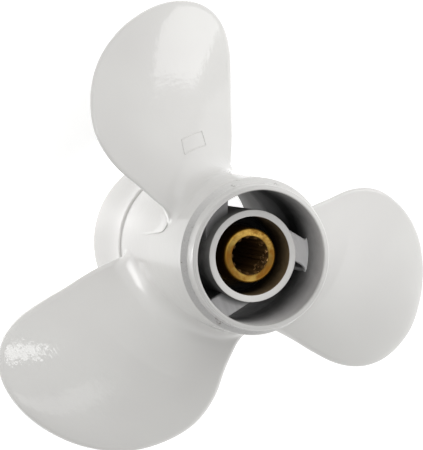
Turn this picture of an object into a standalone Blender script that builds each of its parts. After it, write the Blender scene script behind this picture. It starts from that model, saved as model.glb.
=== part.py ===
"""Three-blade through-hub-exhaust propeller, as named solids for one cast boat propeller.

Metres, +Z up. The shaft axis is Z, the front (gearcase) end is up and the part stands on the
rear face of its diffuser ring. Seen from the front the blades are right-hand: the leading edge
is on the counter-clockwise side and nearer the front. The real barrel, blades, ribs, tube and
ring are one casting; here they are split where they join, with a seat gap between the nodes.
"""
import math

import bmesh
import bpy
from mathutils import Matrix, Vector

MM = 0.001
SEAT_GAP = 0.3 * MM

# Driving dimensions. Heights are measured from the blades' reference plane, then lowered by
# CENTROID_HEIGHT so that the part's centre of mass is at the origin.
DIAMETER = 298 * MM
PITCH = 288 * MM
HUB_RADIUS = 44.5 * MM
CENTROID_HEIGHT = -4.7 * MM

HUB_REAR_RADIUS = 48.4 * MM
FRONT_RIM_Z = 65 * MM
RING_JOINT_Z = -48 * MM
REAR_Z = -86 * MM

BARREL_BORE_RADIUS = 38.3 * MM
LIP_RADIUS = 41.8 * MM
LIP_DEPTH = 6.5 * MM
BORE_TAPER_Z = 20 * MM
BORE_STEP_Z = -27 * MM
BORE_STEP_RADIUS = 42.6 * MM
RING_JOINT_BORE_RADIUS = 45.2 * MM
RING_REAR_RADIUS = 54 * MM
RING_REAR_WALL = 3.2 * MM
GROOVE_WIDTH = 1.8 * MM
GROOVE_DEPTH = 1.5 * MM

TUBE_FRONT_Z = 51 * MM
TUBE_REAR_Z = -46 * MM
TUBE_RADIUS = 26.3 * MM
TUBE_BORE_RADIUS = 22.5 * MM

RIB_FRONT_Z = 41 * MM
RIB_REAR_Z = -22 * MM
RIB_THICKNESS = 13.8 * MM
RIB_CANT = math.radians(34)
RIB_FILLETS = {1: 1.0 * MM, -1: 5.0 * MM}

SLEEVE_FRONT_Z = 47 * MM
SLEEVE_REAR_Z = -50 * MM
SLEEVE_RADIUS = 15.1 * MM
SPLINE_ROOT_RADIUS = 11.6 * MM
SPLINE_TIP_RADIUS = 10.4 * MM
SPLINE_COUNT = 13

BUSH_FRONT_Z = 27 * MM
BUSH_REAR_Z = -40 * MM

BLADE_COUNT = 3
BLADE_AZIMUTH = math.radians(90)
RIB_AZIMUTH = math.radians(-17.6)

# The blade outline: edge angles from the blade's own line, in degrees, at equal steps from the
# root (first) to the tip (last), where both edges meet. The steps crowd towards the tip.
TRAILING_ANGLES = (-43.5, -40.0, -36.0, -33.7, -31.8, -29.1, -25.4, -20.4, -13.8)
LEADING_ANGLES = (39.0, 34.6, 32.4, 27.9, 20.6, 12.4, 3.0, -6.3, -13.8)
PITCH_DROP_TO_TIP = 14 * MM
RAKE_DEPTH = 18 * MM
RAKE_LEVEL_RADIUS = 130 * MM
CAMBER_RATIO = 0.035
ROOT_THICKNESS = 11 * MM
TIP_THICKNESS = 3.2 * MM
EDGE_THICKNESS = 2.4 * MM
ROOT_FILLETS = (4 * MM, 8 * MM, 12 * MM, 12 * MM, 7 * MM)
FILLET_END_SHARE = 0.75
LAST_STEP = 0.965

ROUND_STEPS = 96
SMALL_ROUND_STEPS = 72
BLADE_STEPS = 26
BLADE_COLUMNS = 34
BLADE_LAYERS = 6

PAINT = ("cast_paint", (0.80, 0.79, 0.77), 0.30, 0.0)
RIB_PAINT = ("rib_paint", (0.55, 0.54, 0.53), 0.45, 0.0)
RUBBER = ("bush_rubber", (0.03, 0.03, 0.03), 0.75, 0.0)
BRASS = ("sleeve_brass", (0.66, 0.48, 0.22), 0.32, 1.0)


def clear_scene():
    for thing in list(bpy.data.objects):
        bpy.data.objects.remove(thing, do_unlink=True)


def make_material(spec):
    name, colour, roughness, metallic = spec
    material = bpy.data.materials.get(name)
    if material is None:
        material = bpy.data.materials.new(name)
        material.use_nodes = True
        shader = material.node_tree.nodes["Principled BSDF"]
        shader.inputs["Base Color"].default_value = (*colour, 1.0)
        shader.inputs["Roughness"].default_value = roughness
        shader.inputs["Metallic"].default_value = metallic
        material.diffuse_color = (*colour, 1.0)
    return material


def add_object(name, bm, material, smooth=True):
    """Turn a bmesh into a named object, lowered so that the centre of mass is at the origin."""
    bmesh.ops.remove_doubles(bm, verts=bm.verts, dist=1e-7)
    bmesh.ops.recalc_face_normals(bm, faces=bm.faces)
    mesh = bpy.data.meshes.new(name)
    bm.to_mesh(mesh)
    bm.free()
    thing = bpy.data.objects.new(name, mesh)
    thing.location.z = -CENTROID_HEIGHT
    thing.data.materials.append(make_material(material))
    bpy.context.scene.collection.objects.link(thing)
    if smooth:
        mesh.shade_smooth()
        mesh.set_sharp_from_angle(angle=math.radians(35))
    return thing


def lathe(profile, steps):
    """Spin a closed profile of (radius, height) points about Z."""
    bm = bmesh.new()
    ring = [bm.verts.new((radius, 0.0, height)) for radius, height in profile]
    edges = [bm.edges.new((ring[i], ring[(i + 1) % len(ring)])) for i in range(len(ring))]
    bmesh.ops.spin(bm, geom=ring + edges, cent=(0, 0, 0), axis=(0, 0, 1),
                   angle=2 * math.pi, steps=steps, use_merge=True)
    return bm


def loft(loops):
    """Bridge loops of equally many (x, y, z) points, and cap the first and the last."""
    bm = bmesh.new()
    rows = [[bm.verts.new(point) for point in loop] for loop in loops]
    count = len(rows[0])
    for low, high in zip(rows, rows[1:]):
        for j in range(count):
            k = (j + 1) % count
            bm.faces.new((low[j], low[k], high[k], high[j]))
    bm.faces.new(rows[0][::-1])
    bm.faces.new(rows[-1])
    return bm


def polar(radius, angle):
    return Vector((radius * math.cos(angle), radius * math.sin(angle)))


def arc_points(centre, radius, start, end, count):
    """Points on an arc, both ends included, turning from start to end."""
    return [centre + polar(radius, start + (end - start) * i / (count - 1)) for i in range(count)]


def hub_radius(height):
    """Outer radius of the barrel, which widens slowly from the front shoulder to the ring."""
    shoulder = FRONT_RIM_Z - LIP_DEPTH
    share = (shoulder - height) / (shoulder - RING_JOINT_Z)
    return HUB_RADIUS + (HUB_REAR_RADIUS - HUB_RADIUS) * min(1.0, max(0.0, share))


def bore_radius(height):
    """Radius of the barrel's bore in front of its step."""
    share = (BORE_TAPER_Z - height) / (BORE_TAPER_Z - BORE_STEP_Z)
    return BARREL_BORE_RADIUS + (BORE_STEP_RADIUS - BARREL_BORE_RADIUS) * max(0.0, share)


def hub_barrel():
    front = FRONT_RIM_Z
    joint = RING_JOINT_Z
    round_edge = 1.0 * MM
    profile = [
        (BARREL_BORE_RADIUS, front - round_edge),
        (BARREL_BORE_RADIUS + round_edge, front),
        (LIP_RADIUS - round_edge, front),
        (LIP_RADIUS, front - round_edge),
        (LIP_RADIUS + 0.4 * MM, front - LIP_DEPTH),
        (HUB_RADIUS - 0.8 * MM, front - LIP_DEPTH - 0.4 * MM),
        (HUB_RADIUS, front - LIP_DEPTH - 1.6 * MM),
        (HUB_REAR_RADIUS, joint + GROOVE_WIDTH + 0.5 * MM),
        (HUB_REAR_RADIUS - 0.5 * MM, joint + GROOVE_WIDTH),
        (HUB_REAR_RADIUS - GROOVE_DEPTH, joint + GROOVE_WIDTH),
        (HUB_REAR_RADIUS - GROOVE_DEPTH, joint),
        (RING_JOINT_BORE_RADIUS, joint),
        (RING_JOINT_BORE_RADIUS - 0.4 * MM, BORE_STEP_Z - 2.0 * MM),
        (BORE_STEP_RADIUS, BORE_STEP_Z),
        (BARREL_BORE_RADIUS, BORE_TAPER_Z),
    ]
    return add_object("hub_barrel", lathe(profile, ROUND_STEPS), PAINT)


def flare_profile(start, end, count):
    """Points of a bell-shaped flare, from one (radius, height) to another."""
    points = []
    for i in range(count):
        t = i / (count - 1)
        swell = t * t * (1.6 - 0.6 * t)
        points.append((start[0] + (end[0] - start[0]) * swell, start[1] + (end[1] - start[1]) * t))
    return points


def diffuser_ring():
    top = RING_JOINT_Z - SEAT_GAP
    edge = 0.8 * MM
    lip = HUB_REAR_RADIUS + 0.4 * MM
    front = [(lip - edge, top), (lip - 0.3 * edge, top - 0.3 * edge)]
    outer = front + flare_profile((lip, top - edge), (RING_REAR_RADIUS, REAR_Z + edge), 9)
    inner = flare_profile((RING_JOINT_BORE_RADIUS, top),
                          (RING_REAR_RADIUS - RING_REAR_WALL, REAR_Z + edge), 9)
    rear = [(RING_REAR_RADIUS - edge, REAR_Z), (RING_REAR_RADIUS - RING_REAR_WALL + edge, REAR_Z)]
    profile = outer + rear + inner[::-1]
    return add_object("diffuser_ring", lathe(profile, ROUND_STEPS), PAINT)


def inner_tube():
    edge = 0.8 * MM
    profile = [
        (TUBE_BORE_RADIUS, TUBE_FRONT_Z - edge),
        (TUBE_BORE_RADIUS + edge, TUBE_FRONT_Z),
        (TUBE_RADIUS - edge, TUBE_FRONT_Z),
        (TUBE_RADIUS, TUBE_FRONT_Z - edge),
        (TUBE_RADIUS, TUBE_REAR_Z + edge),
        (TUBE_RADIUS - edge, TUBE_REAR_Z),
        (TUBE_BORE_RADIUS + edge, TUBE_REAR_Z),
        (TUBE_BORE_RADIUS, TUBE_REAR_Z + edge),
    ]
    return add_object("inner_tube", lathe(profile, SMALL_ROUND_STEPS), PAINT)


def rib_side(side, inner_radius, outer_radius):
    """One side of a rib, from the tube to the barrel wall, ending in a fillet on the wall.

    The rib is laid out along +X. Its sides are parallel lines that lean by RIB_CANT from the
    radius at the middle of the passage; side is +1 or -1.
    """
    middle = Vector(((inner_radius + outer_radius) / 2, 0.0))
    along = polar(1.0, -RIB_CANT)
    normal = Vector((-along.y, along.x)) * side
    origin = middle + normal * RIB_THICKNESS / 2

    def reach(radius, point):
        """Where the line along the rib through point crosses a circle about the axis."""
        half = point.dot(along)
        return point + along * (-half + math.sqrt(half * half - point.dot(point) + radius * radius))

    fillet = RIB_FILLETS[side]
    start = reach(inner_radius, origin)
    centre = reach(outer_radius - fillet, origin + normal * fillet)
    touch_line = centre - normal * fillet
    touch_wall = centre.normalized() * outer_radius
    first = math.atan2((touch_line - centre).y, (touch_line - centre).x)
    last = math.atan2((touch_wall - centre).y, (touch_wall - centre).x)
    turn = (last - first + math.pi) % (2 * math.pi) - math.pi
    return [start] + arc_points(centre, fillet, first, first + turn, 7)


def rib_outline(outer_radius):
    """The rib's section where the barrel wall stands at outer_radius, laid out along +X."""
    inner_radius = TUBE_RADIUS + SEAT_GAP
    near = rib_side(-1, inner_radius, outer_radius)
    far = rib_side(1, inner_radius, outer_radius)
    wall_start = math.atan2(near[-1].y, near[-1].x)
    wall_end = math.atan2(far[-1].y, far[-1].x)
    tube_start = math.atan2(far[0].y, far[0].x)
    tube_end = math.atan2(near[0].y, near[0].x)
    zero = Vector((0.0, 0.0))
    wall = arc_points(zero, outer_radius, wall_start, wall_end, 13)[1:-1]
    tube = arc_points(zero, inner_radius, tube_start, tube_end, 10)[1:-1]
    return near + wall + far[::-1] + tube


def rib(index):
    levels = (RIB_REAR_Z, BORE_TAPER_Z, RIB_FRONT_Z)
    loops = [[(p.x, p.y, z) for p in rib_outline(bore_radius(z) - SEAT_GAP)] for z in levels]
    bm = loft(loops)
    angle = RIB_AZIMUTH + index * 2 * math.pi / BLADE_COUNT
    bmesh.ops.rotate(bm, verts=bm.verts, cent=(0, 0, 0), matrix=Matrix.Rotation(angle, 3, "Z"))
    return add_object("rib_%d" % (index + 1), bm, RIB_PAINT)


def along_steps(values, step):
    """Read a list of values given at equal steps from 0 to 1, on a smooth curve through them."""
    place = step * (len(values) - 1)
    i = min(int(place), len(values) - 2)
    t = place - i
    before = values[i - 1] if i > 0 else 2 * values[0] - values[1]
    after = values[i + 2] if i + 2 < len(values) else 2 * values[-1] - values[-2]
    a, b = values[i], values[i + 1]
    return a + 0.5 * t * (b - before + t * (2 * before - 5 * a + 4 * b - after
                                            + t * (3 * (a - b) + after - before)))


def blade_height(radius, angle):
    """Height of the blade's mean surface: a helix whose pitch eases to the tip, raked aft."""
    tip_radius = DIAMETER / 2
    share = (radius - HUB_RADIUS) / (tip_radius - HUB_RADIUS)
    pitch = PITCH + PITCH_DROP_TO_TIP * (0.6 - share)
    rake_share = (RAKE_LEVEL_RADIUS - radius) / (RAKE_LEVEL_RADIUS - HUB_RADIUS)
    rake = RAKE_DEPTH * (rake_share * rake_share - 1)
    return pitch * angle / (2 * math.pi) + rake


def fillet_flare(rise, chord):
    """How far the quarter-round root fillet stands out at a given rise above the hub."""
    fillet = along_steps(ROOT_FILLETS, chord)
    left = max(0.0, fillet - rise)
    return fillet - math.sqrt(max(0.0, fillet ** 2 - left ** 2))


def section_point(step, chord, layer):
    """One point of the blade.

    step runs 0 to 1 from root to tip, chord 0 to 1 from the trailing to the leading edge, and
    layer -1 to 1 from the pressure side to the suction side.
    """
    point = None
    root_radius = HUB_RADIUS + SEAT_GAP
    for _ in range(5):
        point = point_above(root_radius, step, chord, layer)
        root_radius = hub_radius(point.z) + SEAT_GAP
    return point


def point_above(root_radius, step, chord, layer):
    """The same point, where the hub's surface below it stands at root_radius."""
    tip_radius = DIAMETER / 2
    share = math.sin(step * math.pi / 2)
    radius = root_radius + (tip_radius - root_radius) * share
    trailing = math.radians(along_steps(TRAILING_ANGLES, step))
    leading = math.radians(along_steps(LEADING_ANGLES, step))
    angle = trailing + (leading - trailing) * chord
    width = (leading - trailing) * radius
    helix = math.atan2(PITCH, 2 * math.pi * radius)

    flare = fillet_flare(radius - root_radius, chord)
    centred = abs(2 * chord - 1)
    turn = math.pi / 2 * max(0.0, (centred - FILLET_END_SHARE) / (1 - FILLET_END_SHARE))
    fullest = ROOT_THICKNESS + (TIP_THICKNESS - ROOT_THICKNESS) * share ** 0.8
    belly = math.sin(math.pi * chord)
    nose = math.sqrt(max(0.0, 1 - centred ** 30))
    half = 0.5 * nose * (EDGE_THICKNESS + (fullest - EDGE_THICKNESS) * belly)
    half += flare * math.cos(turn)
    camber = CAMBER_RATIO * width * 4 * chord * (1 - chord) * min(1.0, 3 * share)

    offset = camber + layer * half
    along = math.copysign(flare * math.sin(turn), 2 * chord - 1)
    arc = radius * angle - offset * math.sin(helix) + along * math.cos(helix)
    height = blade_height(radius, angle) + offset * math.cos(helix) + along * math.sin(helix)
    turned = BLADE_AZIMUTH + arc / radius
    return Vector((radius * math.cos(turned), radius * math.sin(turned), height))


def blade(index):
    bm = bmesh.new()
    chords = [0.5 - 0.5 * math.cos(math.pi * i / BLADE_COLUMNS) for i in range(BLADE_COLUMNS + 1)]
    steps = [LAST_STEP * (i / BLADE_STEPS) ** 1.25 for i in range(BLADE_STEPS + 1)]

    def skin(layer):
        return [[bm.verts.new(section_point(s, c, layer)) for c in chords[1:-1]] for s in steps]

    upper = skin(1.0)
    lower = skin(-1.0)
    trailing = [bm.verts.new(section_point(s, 0.0, 0.0)) for s in steps]
    leading = [bm.verts.new(section_point(s, 1.0, 0.0)) for s in steps]
    for i in range(len(steps) - 1):
        rows = [[trailing[k]] + upper[k] + [leading[k]] for k in (i, i + 1)]
        rows_low = [[trailing[k]] + lower[k] + [leading[k]] for k in (i, i + 1)]
        for j in range(len(chords) - 1):
            bm.faces.new((rows[0][j], rows[0][j + 1], rows[1][j + 1], rows[1][j]))
            bm.faces.new((rows_low[1][j], rows_low[1][j + 1], rows_low[0][j + 1], rows_low[0][j]))
    for end in (0, len(steps) - 1):
        close_end(bm, steps[end], chords, upper[end], lower[end], trailing[end], leading[end])
    turn = Matrix.Rotation(index * 2 * math.pi / BLADE_COUNT, 3, "Z")
    bmesh.ops.rotate(bm, verts=bm.verts, cent=(0, 0, 0), matrix=turn)
    return add_object("blade_%d" % (index + 1), bm, PAINT)


def close_end(bm, step, chords, upper, lower, trailing, leading):
    """Cover a section with a grid whose points lie on the section's own cylinder."""
    layers = [upper]
    for k in range(1, BLADE_LAYERS):
        layer = 1.0 - 2.0 * k / BLADE_LAYERS
        layers.append([bm.verts.new(section_point(step, c, layer)) for c in chords[1:-1]])
    layers.append(lower)
    for above, below in zip(layers, layers[1:]):
        for j in range(len(upper) - 1):
            bm.faces.new((above[j], above[j + 1], below[j + 1], below[j]))
        bm.faces.new((above[0], below[0], trailing))
        bm.faces.new((above[-1], leading, below[-1]))


def rubber_bush():
    edge = 1.5 * MM
    inner = SLEEVE_RADIUS + SEAT_GAP
    outer = TUBE_BORE_RADIUS - SEAT_GAP
    profile = [
        (inner, BUSH_FRONT_Z - edge),
        (inner + edge, BUSH_FRONT_Z),
        (outer - edge, BUSH_FRONT_Z),
        (outer, BUSH_FRONT_Z - edge),
        (outer, BUSH_REAR_Z + edge),
        (outer - edge, BUSH_REAR_Z),
        (inner + edge, BUSH_REAR_Z),
        (inner, BUSH_REAR_Z + edge),
    ]
    return add_object("rubber_bush", lathe(profile, SMALL_ROUND_STEPS), RUBBER)


def spline_outline():
    """The toothed bore: each tooth is a flat-topped land between two short flanks."""
    outline = []
    tooth = 2 * math.pi / SPLINE_COUNT
    for i in range(SPLINE_COUNT):
        start = i * tooth
        for share, radius in ((0.05, SPLINE_ROOT_RADIUS), (0.25, SPLINE_ROOT_RADIUS),
                              (0.45, SPLINE_ROOT_RADIUS), (0.56, SPLINE_TIP_RADIUS),
                              (0.75, SPLINE_TIP_RADIUS), (0.94, SPLINE_TIP_RADIUS)):
            outline.append(polar(radius, start + share * tooth))
    return outline


def brass_sleeve():
    bm = bmesh.new()
    edge = 0.7 * MM
    inner = spline_outline()
    outer = [polar(SLEEVE_RADIUS, math.atan2(p.y, p.x)) for p in inner]
    slim = [p * (1 - edge / SLEEVE_RADIUS) for p in outer]

    def ring(points, height):
        return [bm.verts.new((p.x, p.y, height)) for p in points]

    loops = [
        ring(inner, SLEEVE_REAR_Z),
        ring(slim, SLEEVE_REAR_Z),
        ring(outer, SLEEVE_REAR_Z + edge),
        ring(outer, SLEEVE_FRONT_Z - edge),
        ring(slim, SLEEVE_FRONT_Z),
        ring(inner, SLEEVE_FRONT_Z),
    ]
    count = len(inner)
    for a, b in zip(loops, loops[1:] + loops[:1]):
        for j in range(count):
            bm.faces.new((a[j], a[(j + 1) % count], b[(j + 1) % count], b[j]))
    return add_object("brass_sleeve", bm, BRASS)


def main():
    clear_scene()
    hub_barrel()
    diffuser_ring()
    inner_tube()
    for index in range(BLADE_COUNT):
        rib(index)
        blade(index)
    rubber_bush()
    brass_sleeve()


main()
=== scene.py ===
"""The looks of a painted three-blade boat propeller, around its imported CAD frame.

The frame is in metres, +Z up. The shaft axis is Z, the front (gearcase) end is up, and the part
stands on the rear face of its diffuser ring. The casting is made again here as fine meshes, one
for each CAD node, from the same driving dimensions, with the fillets, edges and marks of a real
casting, and every surface gets a procedural material.
"""
import math

import bpy
import numpy as np
from mathutils import Matrix, Vector, kdtree


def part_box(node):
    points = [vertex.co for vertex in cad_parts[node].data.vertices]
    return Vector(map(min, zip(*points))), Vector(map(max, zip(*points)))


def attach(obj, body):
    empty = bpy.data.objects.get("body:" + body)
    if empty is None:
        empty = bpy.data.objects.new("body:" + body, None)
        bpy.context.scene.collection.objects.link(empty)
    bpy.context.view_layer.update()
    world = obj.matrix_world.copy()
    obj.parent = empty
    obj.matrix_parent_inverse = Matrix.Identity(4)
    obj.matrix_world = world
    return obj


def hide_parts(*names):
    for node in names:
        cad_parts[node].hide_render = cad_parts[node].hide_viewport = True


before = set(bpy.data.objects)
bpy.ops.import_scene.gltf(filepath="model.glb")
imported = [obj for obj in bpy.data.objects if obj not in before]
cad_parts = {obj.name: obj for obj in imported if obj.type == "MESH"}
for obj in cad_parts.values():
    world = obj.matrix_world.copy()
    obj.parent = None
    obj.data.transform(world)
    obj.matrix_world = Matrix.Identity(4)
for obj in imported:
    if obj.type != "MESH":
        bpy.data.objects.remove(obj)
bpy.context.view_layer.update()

MM = 0.001

# Driving dimensions, in metres. Heights are in the frame; those that the frame knows come from it.
DIAMETER = 298 * MM
PITCH = 288 * MM
HUB_RADIUS = 44.5 * MM
HUB_REAR_RADIUS = 48.4 * MM
BLADE_PLANE = 4.7 * MM
TIP_RADIUS = DIAMETER / 2

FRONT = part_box("hub_barrel")[1].z
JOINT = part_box("hub_barrel")[0].z
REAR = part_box("diffuser_ring")[0].z
RING_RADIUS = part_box("diffuser_ring")[1].x
TUBE_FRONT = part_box("inner_tube")[1].z
TUBE_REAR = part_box("inner_tube")[0].z
TUBE_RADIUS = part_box("inner_tube")[1].x
RIB_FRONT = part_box("rib_1")[1].z
RIB_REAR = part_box("rib_1")[0].z
BUSH_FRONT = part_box("rubber_bush")[1].z
BUSH_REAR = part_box("rubber_bush")[0].z
SLEEVE_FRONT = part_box("brass_sleeve")[1].z
SLEEVE_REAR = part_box("brass_sleeve")[0].z

BORE_RADIUS = 38.3 * MM
MOUTH_RADIUS = 37.9 * MM
LIP_RADIUS = 41.6 * MM
LIP_DEPTH = 8.0 * MM
SHOULDER_DEPTH = 11.2 * MM
TAPER_TOP = BLADE_PLANE + 58.5 * MM
BORE_TAPER_Z = BLADE_PLANE + 20 * MM
BORE_STEP_Z = BLADE_PLANE - 27 * MM
BORE_STEP_RADIUS = 42.6 * MM
JOINT_BORE_RADIUS = 45.2 * MM
RING_WALL = 3.2 * MM
GROOVE_WIDTH = 4.2 * MM
GROOVE_DEPTH = 0.9 * MM

TUBE_BORE_RADIUS = 22.5 * MM
SLEEVE_RADIUS = 15.8 * MM
SLEEVE_MOUTH_RADIUS = 11.1 * MM
SPLINE_ROOT_RADIUS = 10.9 * MM
SPLINE_TIP_RADIUS = 9.8 * MM
SPLINE_COUNT = 13

RIB_THICKNESS = 13.8 * MM
RIB_CANT = math.radians(34)
RIB_AZIMUTH = math.radians(-17.6)
RIB_FILLETS = {1: 1.0 * MM, -1: 5.0 * MM}

BLADE_COUNT = 3
BLADE_AZIMUTH = math.radians(90)
# Edge angles from the blade's own line, in degrees, at equal steps from the root to the tip.
TRAILING_ANGLES = (-45.2, -40.3, -36.0, -33.7, -31.8, -29.1, -25.4, -20.4, -13.8)
LEADING_ANGLES = (39.0, 34.6, 32.4, 27.9, 20.6, 12.4, 3.0, -6.3, -13.8)
PITCH_DROP_TO_TIP = 14 * MM
RAKE_DEPTH = 18 * MM
RAKE_LEVEL_RADIUS = 130 * MM
CAMBER_RATIO = 0.035
ROOT_THICKNESS = 11 * MM
TIP_THICKNESS = 3.2 * MM
THICKNESS_FALL = 0.8
EDGE_THICKNESS = 2.4 * MM
EDGE_ROUNDING = 1.2 * MM
TRAILING_BEVEL = (3.2 * MM, 0.40)
LEADING_BEVEL = (2.0 * MM, 0.35)
ROOT_FILLETS = (11 * MM, 10 * MM, 12 * MM, 12 * MM, 9 * MM)
TRAILING_TURN_SHARE = 0.92
LEADING_TURN_SHARE = 0.75
TRAILING_NOSE_LOSS = 0.8
LEADING_LEAN = math.radians(70)
SKIN_LAP = 0.012 * MM

# A bare raised frame on the first blade: its corners as (step, chord).
FRAME_CORNERS = ((0.1425, 0.5575), (0.1475, 0.3575), (0.0925, 0.3575), (0.0925, 0.5925))
FRAME_WIDTH = 0.75 * MM
FRAME_HEIGHT = 0.35 * MM

# The cast step that curls round each leading root: height, azimuth in degrees, share of the rise.
STEP_HEIGHTS = tuple(z * MM for z in (19.7, 28.0, 30.5, 28.6, 24.2, 15.4, 6.8, 1.8))
STEP_ANGLES = (128.5, 132.5, 136.4, 140.6, 142.9, 144.3, 145.8, 147.2)
STEP_SHARES = (0.2, 0.8, 1.0, 1.0, 0.9, 0.6, 0.25, 0.0)
STEP_RISE = 0.7 * MM
STEP_RUN = 14 * MM

BLADE_STEPS = 104
BLADE_COLUMNS = 92
STEP_CROWDING = 1.6
EDGE_POINTS = 1400
BARREL_STEPS = 288
ROUND_STEPS = 192


# Meshes

def link(thing):
    bpy.context.scene.collection.objects.link(thing)
    return thing


def mesh_piece(name, points, faces, materials, zones=None, sharp=32, normals=None):
    """Make a smooth-shaded object from points and faces; zones picks a material for each face.

    normals may set some points' shading normals. A zero there keeps the mesh's own.
    """
    mesh = bpy.data.meshes.new(name)
    mesh.from_pydata([tuple(point) for point in points], [], faces)
    for material in materials:
        mesh.materials.append(material)
    if zones is not None:
        mesh.polygons.foreach_set("material_index", zones)
    mesh.validate()
    mesh.shade_smooth()
    mesh.set_sharp_from_angle(angle=math.radians(sharp))
    if normals is not None:
        mesh.normals_split_custom_set_from_vertices(normals)
    mesh.update()
    return link(bpy.data.objects.new(name, mesh))


def settle(piece, slot, *nodes):
    """Let a piece stand for CAD nodes, which it hides, and ride on the part; slot is not used."""
    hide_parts(*nodes)
    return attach(piece, "root")


def rounded(corners, spacing=None):
    """Turn corners (radius, height, rounding, zone) of a closed outline into points with arcs.

    Runs longer than spacing get points in between. Each point is (radius, height, zone), where
    zone belongs to the run that starts there.
    """
    count = len(corners)
    points = []
    for i, (radius, height, rounding, zone) in enumerate(corners):
        here = np.array((radius, height))
        before = np.array(corners[i - 1][:2])
        after = np.array(corners[(i + 1) % count][:2])
        to_before = (before - here) / np.linalg.norm(before - here)
        to_after = (after - here) / np.linalg.norm(after - here)
        if rounding > 0:
            half = math.acos(max(-1.0, min(1.0, float(to_before @ to_after)))) / 2
            reach = rounding / math.tan(half)
            start, end = here + to_before * reach, here + to_after * reach
            for t in np.linspace(0, 1, 7):
                spot = (1 - t) ** 2 * start + 2 * t * (1 - t) * here + t * t * end
                points.append((spot[0], spot[1], zone))
        else:
            points.append((radius, height, zone))
    if spacing is None:
        return points
    filled = []
    for (r0, z0, zone), (r1, z1, _) in zip(points, points[1:] + points[:1]):
        pieces = max(1, round(math.hypot(r1 - r0, z1 - z0) / spacing))
        for t in np.arange(pieces) / pieces:
            filled.append((r0 + (r1 - r0) * t, z0 + (z1 - z0) * t, zone))
    return filled


def lathe_piece(name, outline, steps, materials):
    """Spin a closed outline of (radius, height, zone) about Z."""
    profile = np.array([(r, z) for r, z, _ in outline])
    angles = np.arange(steps) * 2 * math.pi / steps
    radius, azimuth = np.meshgrid(profile[:, 0], angles, indexing="ij")
    height = np.repeat(profile[:, 1:2], steps, axis=1)
    points = np.stack((radius * np.cos(azimuth), radius * np.sin(azimuth), height), -1)
    faces, zones = [], []
    count = len(outline)
    for i in range(count):
        k = (i + 1) % count
        for j in range(steps):
            m = (j + 1) % steps
            faces.append((i * steps + j, k * steps + j, k * steps + m, i * steps + m))
            zones.append(outline[i][2])
    return mesh_piece(name, points.reshape(-1, 3), faces, materials, zones)


# The casting

def along_steps(values, step):
    """Read values given at equal steps from 0 to 1, on a smooth curve through them."""
    ends = (2 * values[0] - values[1], 2 * values[-1] - values[-2])
    padded = np.array((ends[0], *values, ends[1]))
    place = np.asarray(step) * (len(values) - 1)
    i = np.clip(place.astype(int), 0, len(values) - 2)
    t = place - i
    before, a, b, after = padded[i], padded[i + 1], padded[i + 2], padded[i + 3]
    return a + 0.5 * t * (b - before + t * (2 * before - 5 * a + 4 * b - after
                                            + t * (3 * (a - b) + after - before)))


def hub_radius(height):
    """Outer radius of the barrel, which widens slowly from near its front to the ring."""
    share = np.clip((TAPER_TOP - height) / (TAPER_TOP - JOINT), 0, 1)
    return HUB_RADIUS + (HUB_REAR_RADIUS - HUB_RADIUS) * share


def bore_radius(height):
    """Radius of the barrel's bore, which widens from the ribs' front half to its rear step."""
    share = max(0.0, (BORE_TAPER_Z - height) / (BORE_TAPER_Z - BORE_STEP_Z))
    return BORE_RADIUS + (BORE_STEP_RADIUS - BORE_RADIUS) * share


def barrel_skin(paint, land, passage, rim):
    """The barrel: rim, lip, machined land, outer taper, the groove before the ring, bore."""
    front, joint = FRONT, JOINT
    shoulder = front - SHOULDER_DEPTH
    groove_edge = joint + GROOVE_WIDTH
    corners = [
        (MOUTH_RADIUS, front - 0.9 * MM, 0.8 * MM, 3),
        (MOUTH_RADIUS + 0.5 * MM, front, 0.35 * MM, 3),
        (LIP_RADIUS - 1.9 * MM, front, 0.3 * MM, 3),
        (LIP_RADIUS - 1.7 * MM, front - 0.25 * MM, 0.2 * MM, 3),
        (LIP_RADIUS - 1.3 * MM, front - 0.15 * MM, 0.2 * MM, 3),
        (LIP_RADIUS - 0.5 * MM, front - 0.3 * MM, 1.0 * MM, 3),
        (LIP_RADIUS, front - LIP_DEPTH, 0.7 * MM, 1),
        (hub_radius(shoulder), shoulder, 0.6 * MM, 0),
        (hub_radius(groove_edge), groove_edge, 1.0 * MM, 0),
        (HUB_REAR_RADIUS - GROOVE_DEPTH, groove_edge - 1.0 * MM, 0.8 * MM, 0),
        (HUB_REAR_RADIUS - GROOVE_DEPTH, joint, 0, 2),
        (JOINT_BORE_RADIUS, joint, 0, 2),
        (JOINT_BORE_RADIUS - 0.4 * MM, BORE_STEP_Z - 2.0 * MM, 1.0 * MM, 2),
        (BORE_STEP_RADIUS, BORE_STEP_Z, 1.0 * MM, 2),
        (BORE_RADIUS, BORE_TAPER_Z, 4.0 * MM, 2),
        (BORE_RADIUS, front - 6.0 * MM, 3.0 * MM, 2),
    ]
    piece = lathe_piece("barrel_skin", rounded(corners, 2.0 * MM), BARREL_STEPS,
                        (paint, land, passage, rim))
    return settle(piece, "cast_paint", "hub_barrel")


def flare(start, end, count):
    """Points of a bell-shaped flare, from one (radius, height) to another."""
    t = np.linspace(0, 1, count)
    swell = t * t * (1.6 - 0.6 * t)
    return list(zip(start[0] + (end[0] - start[0]) * swell, start[1] + (end[1] - start[1]) * t))


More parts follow.
